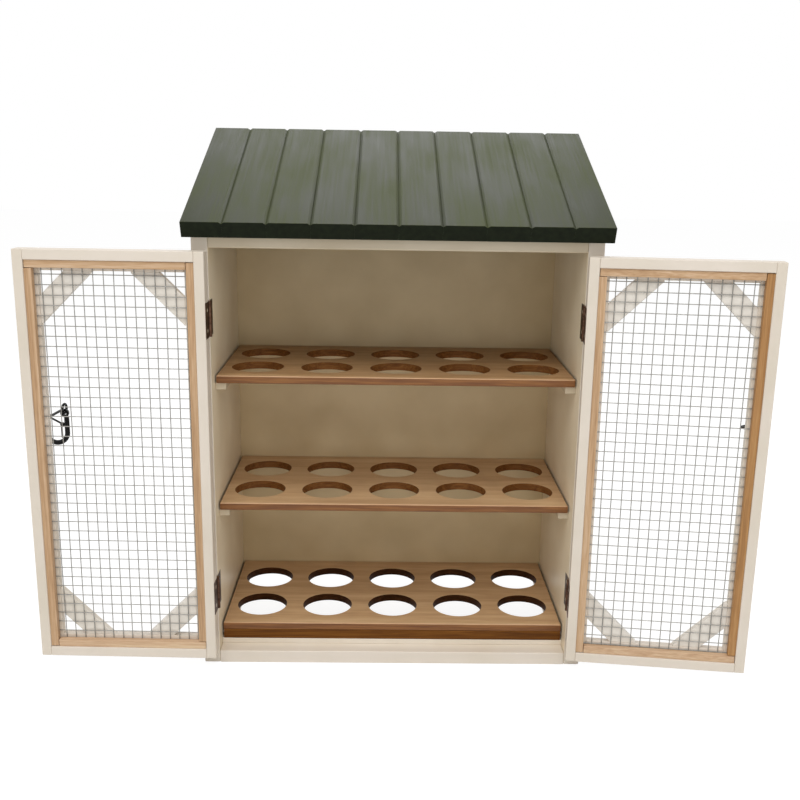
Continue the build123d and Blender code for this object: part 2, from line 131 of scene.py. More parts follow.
# Dark green roof enamel, semi-gloss: almost black green, with a broad grey sheen where light grazes it
# and strokes that run down the planks
def roofEnamel():
    paint = {
        "colour": "#292E15", "worn": "#3F4525", "tintStops": (0.4, 0.62), "strokeAcross": 1.6,
        "strokeAlong": 90.0, "strokeHeight": 0.2, "strokeStrength": 0.3, "cloudAcross": 26.0,
        "cloudAlong": 70.0, "cloudShare": 0.6, "roughness": 0.42, "smoother": 0.1, "rougher": 0.12,
        "glossFrom": 0.35, "glossTo": 0.65}
    material, tree, shader, where = startMaterial(
        "roofGreenEnamel", {"IOR": 1.45, "Roughness": paint["roughness"], "Specular IOR Level": 0.17})
    turned = addNode(tree, "ShaderNodeMapping", {"Rotation": (-slopeAngle, 0, 0)}, {"Vector": where})
    strokePlace = addNode(
        tree, "ShaderNodeMapping", {"Scale": grainScale("Y", paint["strokeAcross"], paint["strokeAlong"])},
        {"Vector": turned.outputs["Vector"]})
    strokes = addNode(
        tree, "ShaderNodeTexNoise", {"Scale": 1.0, "Detail": 4.0}, {"Vector": strokePlace.outputs["Vector"]})
    cloudPlace = addNode(
        tree, "ShaderNodeMapping", {"Scale": grainScale("Y", paint["cloudAcross"], paint["cloudAlong"])},
        {"Vector": turned.outputs["Vector"]})
    clouds = addNode(
        tree, "ShaderNodeTexNoise", {"Scale": 1.0, "Detail": 3.0}, {"Vector": cloudPlace.outputs["Vector"]})
    both = addNode(
        tree, "ShaderNodeMix", {"data_type": "FLOAT", "Factor": paint["cloudShare"]},
        {"A": strokes.outputs["Fac"], "B": clouds.outputs["Fac"]})
    stops = list(zip(paint["tintStops"], (paint["colour"], paint["worn"])))
    tint = addNode(tree, "ShaderNodeValToRGB", {"stops": stops}, {"Fac": both.outputs["Result"]})
    gloss = addNode(
        tree, "ShaderNodeMapRange",
        {"From Min": paint["glossFrom"], "From Max": paint["glossTo"],
         "To Min": paint["roughness"] - paint["smoother"], "To Max": paint["roughness"] + paint["rougher"]},
        {"Value": both.outputs["Result"]})
    relief = addNode(
        tree, "ShaderNodeBump",
        {"Strength": paint["strokeStrength"], "Distance": paint["strokeHeight"] * toMetres},
        {"Height": strokes.outputs["Fac"]})
    tree.links.new(tint.outputs["Color"], shader.inputs["Base Color"])
    tree.links.new(gloss.outputs["Result"], shader.inputs["Roughness"])
    tree.links.new(relief.outputs["Normal"], shader.inputs["Normal"])
    return material


# The same enamel on the planks' end grain, which drinks it and dries flat; its darker green is painted shade
# on these faces, which look down and away from the light
def roofEndShadeEnamel():
    paint = {
        "colour": "#181C13", "patch": "#1F2418", "tintStops": (0.35, 0.7), "roughness": 0.6,
        "patchSize": 4.0}
    material, tree, shader, where = startMaterial(
        "roofGreenEndPaintedShade", {"IOR": 1.45, "Roughness": paint["roughness"], "Specular IOR Level": 0.08})
    patches = addNode(
        tree, "ShaderNodeTexNoise", {"Scale": mmPerMetre / paint["patchSize"], "Detail": 4.0},
        {"Vector": where})
    stops = list(zip(paint["tintStops"], (paint["colour"], paint["patch"])))
    tint = addNode(tree, "ShaderNodeValToRGB", {"stops": stops}, {"Fac": patches.outputs["Fac"]})
    tree.links.new(tint.outputs["Color"], shader.inputs["Base Color"])
    return material


# Planed wood: dark, middling and pale growth bands along the grain, with fibres inside them that are
# drawn coarser than real ones so that they show
def plainWood(name, colours, axis, bandWidth, bandLength=160.0, fibreWidth=0.6, shine=0.5):
    wood = {
        "roughness": 0.55, "fibreLength": 18.0, "fibreShare": 0.4, "fibreHeight": 0.06,
        "fibreStrength": 0.3, "darkStop": 0.36, "middleStop": 0.5, "paleStop": 0.64}
    material, tree, shader, where = startMaterial(
        name, {"IOR": 1.5, "Roughness": wood["roughness"], "Specular IOR Level": shine})
    bandPlace = addNode(
        tree, "ShaderNodeMapping", {"Scale": grainScale(axis, bandWidth, bandLength)}, {"Vector": where})
    bands = addNode(
        tree, "ShaderNodeTexNoise", {"Scale": 1.0, "Detail": 3.0, "Distortion": 0.6},
        {"Vector": bandPlace.outputs["Vector"]})
    fibrePlace = addNode(
        tree, "ShaderNodeMapping", {"Scale": grainScale(axis, fibreWidth, wood["fibreLength"])},
        {"Vector": where})
    fibres = addNode(
        tree, "ShaderNodeTexNoise", {"Scale": 1.0, "Detail": 2.0}, {"Vector": fibrePlace.outputs["Vector"]})
    both = addNode(
        tree, "ShaderNodeMix", {"data_type": "FLOAT", "Factor": wood["fibreShare"]},
        {"A": bands.outputs["Fac"], "B": fibres.outputs["Fac"]})
    dark, middle, pale = colours
    # The ramp's own two stops take the outer tones, and the one it adds takes the middle
    stops = [(wood["darkStop"], dark), (wood["paleStop"], pale), (wood["middleStop"], middle)]
    tint = addNode(tree, "ShaderNodeValToRGB", {"stops": stops}, {"Fac": both.outputs["Result"]})
    relief = addNode(
        tree, "ShaderNodeBump",
        {"Strength": wood["fibreStrength"], "Distance": wood["fibreHeight"] * toMetres},
        {"Height": fibres.outputs["Fac"]})
    tree.links.new(tint.outputs["Color"], shader.inputs["Base Color"])
    tree.links.new(relief.outputs["Normal"], shader.inputs["Normal"])
    return material


# Metal, or lacquer on it: even, with a faint mottling of its own tone in spots "mottle" mm across
def plainMetal(name, colours, roughness, mottle, metallic=1.0, shine=0.5):
    spotStops = (0.35, 0.7)
    shaderSettings = {"Metallic": metallic, "Roughness": roughness, "Specular IOR Level": shine}
    material, tree, shader, where = startMaterial(name, shaderSettings)
    spots = addNode(
        tree, "ShaderNodeTexNoise", {"Scale": mmPerMetre / mottle, "Detail": 3.0}, {"Vector": where})
    tint = addNode(
        tree, "ShaderNodeValToRGB", {"stops": list(zip(spotStops, colours))},
        {"Fac": spots.outputs["Fac"]})
    tree.links.new(tint.outputs["Color"], shader.inputs["Base Color"])
    return material


# One cream enamel in several tones, whose differences are painted light and shade: inside, warmer and
# lighter, painted warm bounce light, and on the back darker and browner, painted shade
# The upright copy is a shade darker than the level copy: painted shade, to match the light on the doors'
# stiles
enamelUpright = creamEnamel("creamEnamelUpright", "Z", ("#DED3C5", "#D7CCBB"))
enamelLevel = creamEnamel("creamEnamelLevel", "X", ("#E1D6C9", "#DACFBF"))
enamelInsideBounceLight = creamEnamel("creamEnamelInsideBounceLight", "Z", ("#E9DBC0", "#DFCFB1"))
enamelBackPaintedShade = creamEnamel("creamEnamelBackPaintedShade", "Z", ("#D3BE95", "#C5AF85"))
# A darker, yellower tone for the rail under the roof's overhang and the cleats under the shelves: painted
# shade where these lie in shadow
enamelPaintedShade = creamEnamel("creamEnamelPaintedShade", "Y", ("#CFC1A9", "#C3B398"))
# Lighter and greyer than the frame's enamel: painted light and its cool tint on the braces seen through the
# mesh
enamelBracePaintedLight = creamEnamel("creamEnamelBracePaintedLight", "X", ("#EAE3D9", "#E2DACD"))
# Paler enamel on the base rail's top and the door stop under the bottom shelf: painted light, so that they
# read as bright as the rail's front
enamelPaintedLight = creamEnamel("creamEnamelPaintedLight", "X", ("#E9DFD0", "#E1D5C3"))
roofGreen = roofEnamel()
roofEndShade = roofEndShadeEnamel()
# Pine beading under clear matt varnish: warm tan with straight grain, paler on the doors' bottom beads, and
# darker and more amber on the right door's latch bead, painted shade on a bead that faces away from the
# light
pineGrain = {"bandWidth": 3.0, "fibreWidth": 0.7}
beadTones = ["#AB8560", "#BF9B75", "#CFB08F"]
beadUpright = plainWood("varnishedPineUpright", beadTones, "Z", **pineGrain)
beadLevel = plainWood("varnishedPineLevel", beadTones, "X", **pineGrain)
beadPale = plainWood("varnishedPinePale", ["#B89472", "#CBA987", "#DABF9C"], "X", **pineGrain)
beadAmberShade = plainWood("varnishedPineAmberShade", ["#956938", "#A87945", "#B88D58"], "Z", **pineGrain)
# Veneered board, sanded: a tan face with broad quiet bands, and red-brown raw edges with fine ones
faceGrain = {"bandWidth": 9.0, "bandLength": 140.0}
veneerPale = plainWood("shelfVeneerPale", ["#B08B65", "#C09C73", "#CDAC83"], "X", **faceGrain)
# A darker face for the top shelf: painted shade under the roof
veneerShaded = plainWood("shelfVeneerPaintedShade", ["#9E764E", "#AC855B", "#BA946A"], "X", **faceGrain)
edgeTones = ["#633814", "#784A20", "#8C5C2C"]
veneerEdge = plainWood("shelfEdge", edgeTones, "X", bandWidth=2.2, bandLength=60.0)
stripTones = ["#55300C", "#693E10", "#7C4E1A"]
stripWood = plainWood("shelfStrip", stripTones, "X", bandWidth=2.2, bandLength=80.0, shine=0.15)
# Routed hole walls, dull and brown like the raw edges but darker: painted shade inside the holes, nearly
# black in the lowest shelf
wallGrain = {"bandWidth": 2.2, "bandLength": 30.0}
veneerHoleShade = plainWood("shelfHoleWallShade", ["#593414", "#6C431E", "#7F532A"], "X", shine=0.1, **wallGrain)
deepShadeTones = ["#2E1808", "#3C210E", "#4C2C15"]
veneerHoleDeepShade = plainWood("shelfHoleWallDeepShade", deepShadeTones, "X", shine=0.05, **wallGrain)
# The face's rounded front corner, paler: a painted highlight along the edge
arrisTones = ["#B58C64", "#C39C75", "#CFAA85"]
veneerArrisHighlight = plainWood("shelfArrisHighlight", arrisTones, "X", bandWidth=2.2, bandLength=90.0)
# Galvanised wire, drawn and dipped: dull grey zinc
zincWire = plainMetal("galvanisedWire", ["#8C8A85", "#A3A19C"], 0.5, 3.0)
# Bronzed steel, stamped: dark brown mottled with a lighter red-brown, its pins paler: a painted highlight on
# the knuckles
bronzedSteel = plainMetal("bronzedSteel", ["#3E2C23", "#6B5040"], 0.42, 2.5)
hingePinHighlight = plainMetal("hingePinPaintedHighlight", ["#8A7460", "#A89078"], 0.35, 1.0)
# Zinc-plated screws: bright, pale and slightly warm
zincScrew = plainMetal("zincPlatedScrew", ["#C0B4A0", "#DAD0BE"], 0.35, 1.0)
# Black lacquer on bent steel wire: near black with a soft sheen
blackLacquer = plainMetal("blackLacqueredSteel", ["#050506", "#0B0B0C"], 0.38, 2.0, metallic=0.0, shine=0.2)
print("materials made")


# Quads between closed rings of points: a point and the next in its ring, then the same two one ring on
def ringFaces(ringCount, pointCount):
    ring, point = np.meshgrid(np.arange(ringCount - 1), np.arange(pointCount), indexing="ij")
    here, beyond, following = ring * pointCount, (ring + 1) * pointCount, (point + 1) % pointCount
    quads = np.stack([here + point, here + following, beyond + following, beyond + point], axis=-1)
    return quads.reshape(-1, 4).tolist()


# Faces that close the first and the last ring
def endFaces(ringCount, pointCount):
    last = (ringCount - 1) * pointCount
    return [list(range(pointCount)), list(range(last, last + pointCount))]


# Plane rings of points, each at its own height, and the quads between them
def stackedRings(rings, heights):
    level = np.broadcast_to(heights[:, None, None], rings.shape[:2] + (1,))
    return np.concatenate([rings, level], axis=-1).reshape(-1, 3), ringFaces(*rings.shape[:2])


# Several shapes as one
def joined(shapes):
    points, faces, start = [], [], 0
    for shapePoints, shapeFaces in shapes:
        points.append(shapePoints)
        faces += [[index + start for index in face] for face in shapeFaces]
        start += len(shapePoints)
    return np.concatenate(points), faces


# Puts a shape into a mesh that stands for a CAD node and rides on a body. Points closer than "merge" metres
# become one, then every normal is turned outward. Faces that meet below the given angle shade as one.
def addPiece(name, shape, materials, body, node, smoothBelow=None):
    merge = 2e-6
    points, faces = shape
    mesh = bpy.data.meshes.new(name)
    mesh.from_pydata((points * toMetres).tolist(), [], faces)
    shell = bmesh.new()
    shell.from_mesh(mesh)
    bmesh.ops.remove_doubles(shell, verts=shell.verts, dist=merge)
    bmesh.ops.recalc_face_normals(shell, faces=shell.faces)
    shell.to_mesh(mesh)
    shell.free()
    if smoothBelow is not None:
        mesh.shade_smooth()
        mesh.set_sharp_from_angle(angle=math.radians(smoothBelow))
    piece = bpy.data.objects.new(name, mesh)
    scene.collection.objects.link(piece)
    for material in materials:
        mesh.materials.append(material)
    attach(piece, body)
    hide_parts(node)
    return piece


# One vector of every face, in rows
def faceTable(piece, what):
    table = np.empty(len(piece.data.polygons) * 3)
    piece.data.polygons.foreach_get(what, table)
    return table.reshape(-1, 3)


# Gives every face the material of its own number
def setFinish(piece, numbers):
    piece.data.polygons.foreach_set("material_index", numbers.astype(np.int32))


# An outline's corners become arcs: the arc's centre is the corner drawn back by r (n1 + n2) / (1 + n1.n2),
# and its normal turns evenly from one side's to the next. Corners run anticlockwise.
def roundedOutline(corners, radius):
    corners = np.asarray(corners, float)
    side = np.roll(corners, -1, axis=0) - corners
    side /= np.linalg.norm(side, axis=1, keepdims=True)
    after = np.stack([side[:, 1], -side[:, 0]], axis=1)
    before = np.roll(after, 1, axis=0)
    first = np.arctan2(before[:, 1], before[:, 0])
    turn = (np.arctan2(after[:, 1], after[:, 0]) - first + np.pi) % (2 * np.pi) - np.pi
    bulge = np.sign(turn)[:, None]
    together = 1 + np.sum(before * after, axis=1, keepdims=True)
    centre = corners - bulge * radius * (before + after) / together
    angle = first[:, None] + turn[:, None] * np.linspace(0, 1, easingSteps + 1)[None, :]
    normal = np.stack([np.cos(angle), np.sin(angle)], axis=-1)
    points = centre[:, None, :] + bulge[:, None, :] * radius * normal
    return points.reshape(-1, 2), normal.reshape(-1, 2)


# The way over a board's edge, through its depth and over the far edge, a quarter round at each:
# a ring is drawn back by easing (1 - sin a) at a depth of easing (1 - cos a)
def easedSection(easing, depth):
    angle = np.linspace(0, np.pi / 2, easingSteps + 1)
    back, down = easing * (1 - np.sin(angle)), easing * (1 - np.cos(angle))
    return np.concatenate([back, back[::-1]]), np.concatenate([down, depth - down[::-1]])


# A board: the rounded outline is carried from depth 0 to depth, drawn in near each end by the eased section.
# Its long edges are rounded 5/4 as much as its ends. Columns are (outline, outline, depth).
def easedPrism(corners, depth, easing):
    outline, normal = roundedOutline(corners, easing * 5 / 4)
    drawnIn, along = easedSection(easing, depth)
    rings = outline[None, :, :] - drawnIn[:, None, None] * normal[None, :, :]
    points, faces = stackedRings(rings, along)
    return points, faces + endFaces(*rings.shape[:2])


# A rectangular board between two corners, its edges eased
def easedBoard(low, high, easing):
    (x0, y0, z0), (x1, y1, z1) = low, high
    points, faces = easedPrism([(x0, y0), (x1, y0), (x1, y1), (x0, y1)], z1 - z0, easing)
    return points + [0, 0, z0], faces


# Round tubes along lines of points: at each point a ring lies across the line's direction. A ring's two
# axes are the direction crossed with a steady vector, and that crossed with the direction.
def tubesAlong(lines, radius):
    tube = {"sides": 8, "steady": (0.0, 1.0, 0.0)}
    direction = np.gradient(lines, axis=1)
    direction /= np.linalg.norm(direction, axis=-1, keepdims=True)
    across = np.cross(direction, tube["steady"])
    across /= np.linalg.norm(across, axis=-1, keepdims=True)
    upward = np.cross(across, direction)
    angle = (np.arange(tube["sides"]) / tube["sides"] * 2 * np.pi)[:, None]
    ring = across[:, :, None, :] * np.cos(angle) + upward[:, :, None, :] * np.sin(angle)
    points = lines[:, :, None, :] + radius * ring
    lineCount, stationCount = lines.shape[:2]
    faces = ringFaces(stationCount, tube["sides"]) + endFaces(stationCount, tube["sides"])
    return joined([(skin, faces) for skin in points.reshape(lineCount, -1, 3)])


# Height of the roof's underside: its height at the front, and the way back times the slope's tangent
def underRoof(y):
    return carcass["underRoofAtFront"] + (y - carcass["frontY"]) * math.tan(slopeAngle)


# A board whose top edge follows the roof: an outline in Y and Z, carried along X
def slopedBoard(x0, x1, y0, y1, z0, easing):
    corners = [(y0, z0), (y1, z0), (y1, underRoof(y1)), (y0, underRoof(y0))]
    points, faces = easedPrism(corners, x1 - x0, easing)
    return points[:, [2, 0, 1]] + [x0, 0, 0], faces


# The box: each board has one tone of enamel, and a second on the face that looks the way given, which is
# painted light and shade: the sides' inner faces warmer and lighter, the back's front darker, the base
# rail's top lighter
def makeCarcass():
    easing = {"side": 0.9, "rail": 0.7, "back": 0.1}
    facing = 0.9  # cosine from which a face counts as looking that way
    inner = carcass["halfInside"]
    outer = inner + carcass["sideThickness"]
    front, back, rear = carcass["frontY"], carcass["backFrontY"], carcass["backRearY"]
    railBack = front + carcass["baseRailDepth"]
    boards = {
        "left_side_panel": (
            "leftSidePanel", slopedBoard(-outer, -inner, front, rear, 0, easing["side"]),
            enamelUpright, enamelInsideBounceLight, (1, 0, 0)),
        "right_side_panel": (
            "rightSidePanel", slopedBoard(inner, outer, front, rear, 0, easing["side"]),
            enamelUpright, enamelInsideBounceLight, (-1, 0, 0)),
        "back_panel": (
            "backPanel", slopedBoard(-inner, inner, back, rear, carcass["backBottom"], easing["back"]),
            enamelUpright, enamelBackPaintedShade, (0, -1, 0)),
        "base_front_rail": (
            "baseFrontRail",
            easedBoard((-inner, front, 0), (inner, railBack, carcass["baseRail"]), easing["rail"]),
            enamelLevel, enamelPaintedLight, (0, 0, 1))}
    for node, (name, shape, around, onFace, direction) in boards.items():
        piece = addPiece(name, shape, [around, onFace], "case", node)
        setFinish(piece, faceTable(piece, "normal") @ np.array(direction, float) > facing)
    # The rail under the roof's overhang takes the darker enamel, painted shade
    topRail = slopedBoard(
        -inner, inner, front, front + carcass["topRail"], carcass["openingTop"], easing["rail"])
    addPiece("topFrontRail", topRail, [enamelPaintedShade], "case", "top_front_rail")


# Planks lie up the slope: local (across, up the slope, off the boards) becomes
# y = front + cos up - sin off, z = front top + sin up + cos off
def makeRoof():
    roof = {
        "frontY": -18.0, "frontTopZ": 344.764, "length": 178.4, "thickness": 12.0, "overhang": 5.0,
        "trim": 2.2, "gap": 0.02, "chamfer": 2.0, "chamferDepth": 1.3, "easing": 0.3, "count": 10,
        "liftFrom": -0.04, "liftTo": 0.03, "seed": 4, "endFacing": 0.8}
    rng = np.random.default_rng(roof["seed"])
    half = carcass["halfInside"] + carcass["sideThickness"] + roof["overhang"]
    width = np.full(roof["count"], 2 * half + 2 * roof["trim"]) / roof["count"]
    width[[0, -1]] -= roof["trim"]  # the outer planks are ripped narrower
    left = -half + np.concatenate([[0], np.cumsum(width)[:-1]])
    lift = rng.uniform(roof["liftFrom"], roof["liftTo"], roof["count"])
    thick, cut, deep = roof["thickness"], roof["chamfer"], roof["chamferDepth"]
    roofCorner = np.array([0, roof["frontY"], roof["frontTopZ"]])
    upSlope = np.array([0, math.cos(slopeAngle), math.sin(slopeAngle)])
    offSlope = np.array([0, -math.sin(slopeAngle), math.cos(slopeAngle)])
    for number in range(roof["count"]):
        x0, x1 = left[number] + roof["gap"] / 2, left[number] + width[number] - roof["gap"] / 2
        # Only the edges that meet another plank are chamfered
        corners = [(x0, -thick), (x1, -thick)]
        corners += [(x1, -deep), (x1 - cut, 0)] if number < roof["count"] - 1 else [(x1, 0)]
        corners += [(x0 + cut, 0), (x0, -deep)] if number else [(x0, 0)]
        points, faces = easedPrism(corners, roof["length"], roof["easing"])
        # The rings near the ends are spread back to the full width, so that the joints stay shut there
        rings = points.reshape(2 * (easingSteps + 1), -1, 3)
        middle, span = (x0 + x1) / 2, np.ptp(rings[:, :, 0], axis=1)
        rings[:, :, 0] = middle + (rings[:, :, 0] - middle) * ((x1 - x0) / span)[:, None]
        across, off, up = points[:, :1], points[:, 1:2] + lift[number], points[:, 2:]
        placed = roofCorner + across * [1, 0, 0] + up * upSlope + off * offSlope
        piece = addPiece(
            f"roofPlank{number + 1:02d}", (placed, faces), [roofGreen, roofEndShade], "case",
            f"roof_plank_{number + 1:02d}")
        # The plank ends take the darker end enamel, painted shade
        setFinish(piece, np.abs(faceTable(piece, "normal") @ upSlope) > roof["endFacing"])


# Points round a rectangle, anticlockwise, at given places along its sides
def roundRectangle(alongX, alongY):
    sides = [
        (alongX[:-1], alongY[0]), (alongX[-1], alongY[:-1]), (alongX[:0:-1], alongY[-1]),
        (alongX[0], alongY[:0:-1])]
    return np.concatenate([np.stack(np.broadcast_arrays(x, y), axis=1) for x, y in sides])


# A shelf with round holes. Each hole's cell is a grid of angle by profile: from the cell's rectangle
# straight to the rim, over a small round, down the wall and out again underneath. A ring of the
# outer edge's profile, drawn outward along the rectangle's normals, closes the board.
def makeShelf(name, top, face, holeWall):
    shelf = {
        "frontY": 7.0, "depth": 124.0, "halfWidth": 135.1, "thickness": 6.0, "radius": 20.0, "pitch": 54.0,
        "columns": 5, "rows": 2, "frontRow": 34.0, "rimRound": 0.4, "easing": 0.7, "perSide": 16,
        "smoothBelow": 40, "uprightBelow": 0.75, "arrisFrom": 0.2, "arrisTo": 0.97}
    ease, thick = shelf["easing"], shelf["thickness"]
    # The board's flat face ends where the edge's round begins
    leftX, rightX = -shelf["halfWidth"] + ease, shelf["halfWidth"] - ease
    frontY, rearY = shelf["frontY"] + ease, shelf["frontY"] + shelf["depth"] - ease
    columnsX = (np.arange(shelf["columns"]) - (shelf["columns"] - 1) / 2) * shelf["pitch"]
    rowsY = shelf["frontY"] + shelf["frontRow"] + np.arange(shelf["rows"]) * shelf["pitch"]
    linesX = np.concatenate([[leftX], (columnsX[1:] + columnsX[:-1]) / 2, [rightX]])
    linesY = np.concatenate([[frontY], (rowsY[1:] + rowsY[:-1]) / 2, [rearY]])
    alongX = np.linspace(linesX[:-1], linesX[1:], shelf["perSide"] + 1, axis=1)
    alongY = np.linspace(linesY[:-1], linesY[1:], shelf["perSide"] + 1, axis=1)
    shapes = []
    wider, down = easedSection(shelf["rimRound"], thick)
    heights = np.concatenate([[top], top - down, [top - thick]])
    for centreX, cellX in zip(columnsX, alongX):
        for centreY, cellY in zip(rowsY, alongY):
            border = roundRectangle(cellX, cellY)
            centre = np.array([centreX, centreY])
            unit = (border - centre) / np.linalg.norm(border - centre, axis=1, keepdims=True)
            rings = centre + (shelf["radius"] + wider)[:, None, None] * unit
            shapes.append(stackedRings(np.concatenate([border[None], rings, border[None]]), heights))
    edgeX, edgeY = np.unique(alongX.round(6)), np.unique(alongY.round(6))
    edge = roundRectangle(edgeX, edgeY)
    farSide, nearSide = edge == [edgeX[-1], edgeY[-1]], edge == [edgeX[0], edgeY[0]]
    outward = farSide * 1.0 - nearSide
    drawnBack, down = easedSection(ease, thick)
    shapes.append(stackedRings(edge + (ease - drawnBack)[:, None, None] * outward, top - down))
    piece = addPiece(
        name + "Shelf", joined(shapes), [face, veneerEdge, holeWall, veneerArrisHighlight], "case",
        name + "_shelf", shelf["smoothBelow"])
    (x, y, _), (_, _, upward) = (faceTable(piece, "center") / toMetres).T, faceTable(piece, "normal").T
    upright, atFront, atSide = np.abs(upward) < shelf["uprightBelow"], y < frontY, np.abs(x) > rightX
    # The face's rounded front corner takes the paler finish, a painted highlight
    arris = atFront & (upward > shelf["arrisFrom"]) & (upward < shelf["arrisTo"])
    rawEdge = upright & (atFront | (y > rearY)) & ~atSide
    # The board's ends take the hole walls' dark finish too: painted shade in the gap against the sides
    setFinish(piece, np.select([arris, rawEdge, upright], [3, 1, 2], 0))


# A shut door's (from the hinge edge, from the outer face, from the bottom edge), turned about its pin to
# where it stands open: x, y from the pin become x cos - y sin, x sin + y cos
def doorPlace(side, points):
    x = side * (door["edge"] - points[..., 0]) - side * door["pinX"]
    y = carcass["frontY"] + points[..., 1] - door["pinY"]
    angle = math.radians(-door["leftOpen"] if side < 0 else door["rightOpen"])
    cosine, sine = math.cos(angle), math.sin(angle)
    openX = side * door["pinX"] + x * cosine - y * sine
    openY = door["pinY"] + x * sine + y * cosine
    return np.stack([openX, openY, door["bottom"] + points[..., 2]], axis=-1)


# Places a pitch apart that lie between two limits: first + pitch k, for whole k of either sign
def placesBetween(first, pitch, low, high):
    lowest, highest = math.ceil((low - first) / pitch), math.floor((high - first) / pitch)
    return first + pitch * np.arange(lowest, highest + 1)


# Welded mesh: uprights on one side of the level wires. Each strays a little from true, by a slow sine
# of its length with its own phase and size.
def wireGrid(side):
    wire = {
        "radius": 0.355, "uprightDepth": 5.85, "levelDepth": 6.25, "edge": 7.9, "clear": 0.5,
        "stray": 0.22, "strayShare": (0.3, 1.0), "uprightStations": 41, "levelStations": 17,
        "uprightWave": 37, "levelWave": 29, "seed": 7}
    # A door's first wires and their pitches, across from its hinge edge and up from its bottom edge
    laid = {
        -1: {"across": 7.11, "acrossPitch": 7.33, "up": 18.9, "upPitch": 7.46},
        1: {"across": 5.05, "acrossPitch": 7.37, "up": 21.05, "upPitch": 7.44}}[side]
    rng = np.random.default_rng(wire["seed"] + side)
    low, farAcross, farUp = wire["edge"], door["width"] - wire["edge"], door["height"] - wire["edge"]
    clear = wire["clear"]
    acrossAt = placesBetween(laid["across"], laid["acrossPitch"], low + clear, farAcross - clear)
    upAt = placesBetween(laid["up"], laid["upPitch"], low + clear, farUp - clear)

    # Each wire's places sideways and along: place + stray size sin(along / wave + phase)
    def lineUp(places, along, wave):
        phase = rng.uniform(0, 2 * np.pi, len(places))[:, None]
        size = rng.uniform(*wire["strayShare"], len(places))[:, None]
        sideways = places[:, None] + wire["stray"] * size * np.sin(along / wave + phase)
        return sideways, np.broadcast_to(along, sideways.shape)

    across, up = lineUp(acrossAt, np.linspace(low, farUp, wire["uprightStations"]), wire["uprightWave"])
    uprights = np.stack([across, np.full_like(across, wire["uprightDepth"]), up], axis=-1)
    up, across = lineUp(upAt, np.linspace(low, farAcross, wire["levelStations"]), wire["levelWave"])
    levels = np.stack([across, np.full_like(across, wire["levelDepth"]), up], axis=-1)
    return joined([tubesAlong(doorPlace(side, lines), wire["radius"]) for lines in (uprights, levels)])


# A door's stiles, with a step for the mesh and its beading, its four corner braces and the mesh
def makeDoor(name, side):
    build = {
        "easing": 0.6, "braceEasing": 0.5, "braceNear": 18.2, "braceFar": 39.13, "braceThickness": 5.2,
        "smoothBelow": 60}
    body = name + "_door"
    wide, high, thick = door["width"], door["height"], door["thickness"]
    frameWide, ledge, lip = door["frame"], door["ledge"], door["lip"]
    section = [(0, 0), (frameWide, 0), (frameWide, lip), (ledge, lip), (ledge, thick), (0, thick)]
    for stile, mirrored in (("hinge", False), ("latch", True)):
        points, faces = easedPrism(section, high, build["easing"])
        if mirrored:
            points[:, 0] = wide - points[:, 0]
        addPiece(
            f"{name}Door{stile.title()}Stile", (doorPlace(side, points), faces), [enamelUpright], body,
            f"{name}_door_{stile}_stile")
    # A brace is a strip across an inside corner of the frame, from "near" to "far" along both sides
    near, far = build["braceNear"], build["braceFar"]
    strip = [(near, 0), (far, 0), (0, far), (0, near)]
    brace, faces = easedPrism(strip, build["braceThickness"], build["braceEasing"])
    braces = []
    for cornerAcross, inward in ((frameWide, 1), (wide - frameWide, -1)):
        for cornerUp, upward in ((frameWide, 1), (high - frameWide, -1)):
            placed = [cornerAcross + inward * brace[:, 0], brace[:, 2], cornerUp + upward * brace[:, 1]]
            braces.append((doorPlace(side, np.stack(placed, axis=1)), faces))
    addPiece(
        name + "DoorCornerBraces", joined(braces), [enamelBracePaintedLight], body,
        f"{name}_door_corner_braces")
    addPiece(
        name + "DoorWireMesh", wireGrid(side), [zincWire], body, f"{name}_door_mesh",
        build["smoothBelow"])


# Countersunk cross-head screws: rings about the axis, where a ring's height is the profile's, less the
# cross's depth where a point lies within half a slot of either of the cross's arms.
# Local (a, b) lies across the head and c runs into the wood.
def crossScrews(places, intoWood):
    screw = {
        "top": [0.02, 0.2, 0.28, 0.45, 0.7, 0.95, 1.05, 1.2, 1.42], "head": 1.5, "headFrom": 0.05,
        "headTo": 0.1, "cone": 0.5, "shank": 0.8, "pointFrom": 5.0, "tip": 0.4, "tipAt": 5.7, "end": 0.02,
        "length": 6.0, "halfSlot": 0.24, "arm": 1.0, "slotDepth": 0.35, "turn": 0.3, "sides": 48}
    below = np.array([
        (screw["head"], screw["headFrom"]), (screw["head"], screw["headTo"]),
        (screw["shank"], screw["cone"]), (screw["shank"], screw["pointFrom"]),
        (screw["tip"], screw["tipAt"]), (screw["end"], screw["length"])])
    topCount = len(screw["top"])
    radius = np.concatenate([screw["top"], below[:, 0]])[:, None]
    depth = np.concatenate([np.zeros(topCount), below[:, 1]])[:, None]
    angle = np.arange(screw["sides"]) / screw["sides"] * 2 * np.pi
    fromArms = radius * np.abs([np.cos(angle), np.sin(angle)])[:, None]
    inCross = (fromArms.min(axis=0) < screw["halfSlot"]) & (fromArms.max(axis=0) < screw["arm"])
    down = np.broadcast_to(depth, inCross.shape).copy()
    down[:topCount] += screw["slotDepth"] * inCross[:topCount]
    across, along = radius * np.cos(angle + screw["turn"]), radius * np.sin(angle + screw["turn"])
    local = np.stack([intoWood * down, across, along], axis=-1).reshape(-1, 3)
    faces = ringFaces(*down.shape) + endFaces(*down.shape)
    return [(local + np.asarray(place), faces) for place in places]


